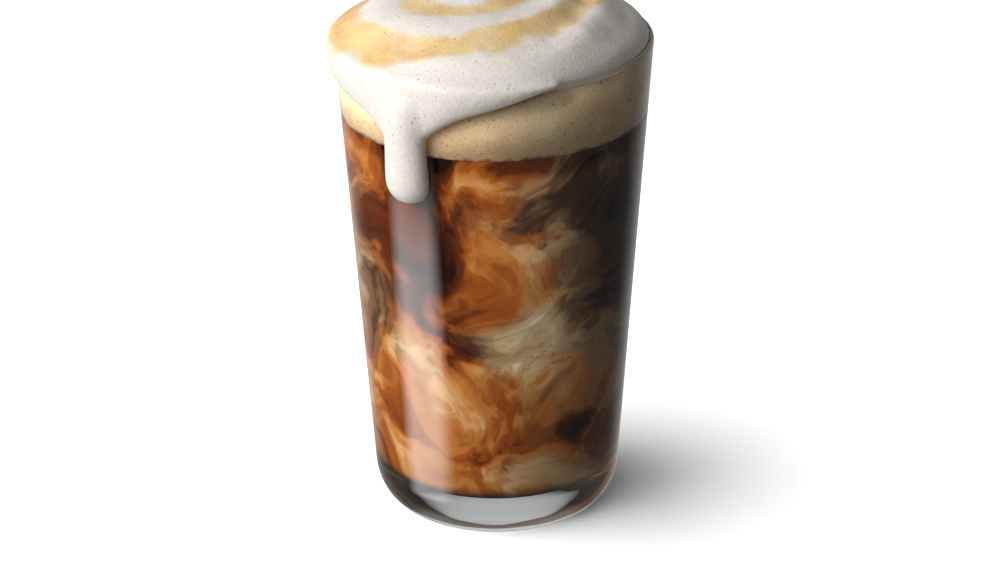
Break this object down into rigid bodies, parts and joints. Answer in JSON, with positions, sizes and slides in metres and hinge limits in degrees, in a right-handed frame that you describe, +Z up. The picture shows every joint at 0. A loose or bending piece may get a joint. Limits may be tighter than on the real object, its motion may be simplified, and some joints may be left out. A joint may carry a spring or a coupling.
{
  "type": "glass of iced cappuccino",
  "caption": "Tall thick-based glass of iced cappuccino with swirled milk, a band of fine foam and a domed foam cap that drips over the rim.",
  "frame": {"origin": "centre of the glass's foot, on the surface that it stands on", "axes": "+Z up along the glass's axis, -Y the front of the picture, with the drip at the front left"},
  "size_m": [0.0876, 0.0889, 0.1471],
  "materials": {
    "glass": "clear pressed and fire-polished soda-lime glass",
    "coffee": "milky coffee, amber to cream swirls",
    "foam_band": "fine tan coffee foam with small bubbles",
    "foam_cap": "white milk foam with golden coffee stains"
  },
  "bodies": {
    "root": {"glass": "glass", "coffee": "coffee", "foam_band": "foam_band", "foam_cap": "foam_cap"}
  },
  "joints": []
}
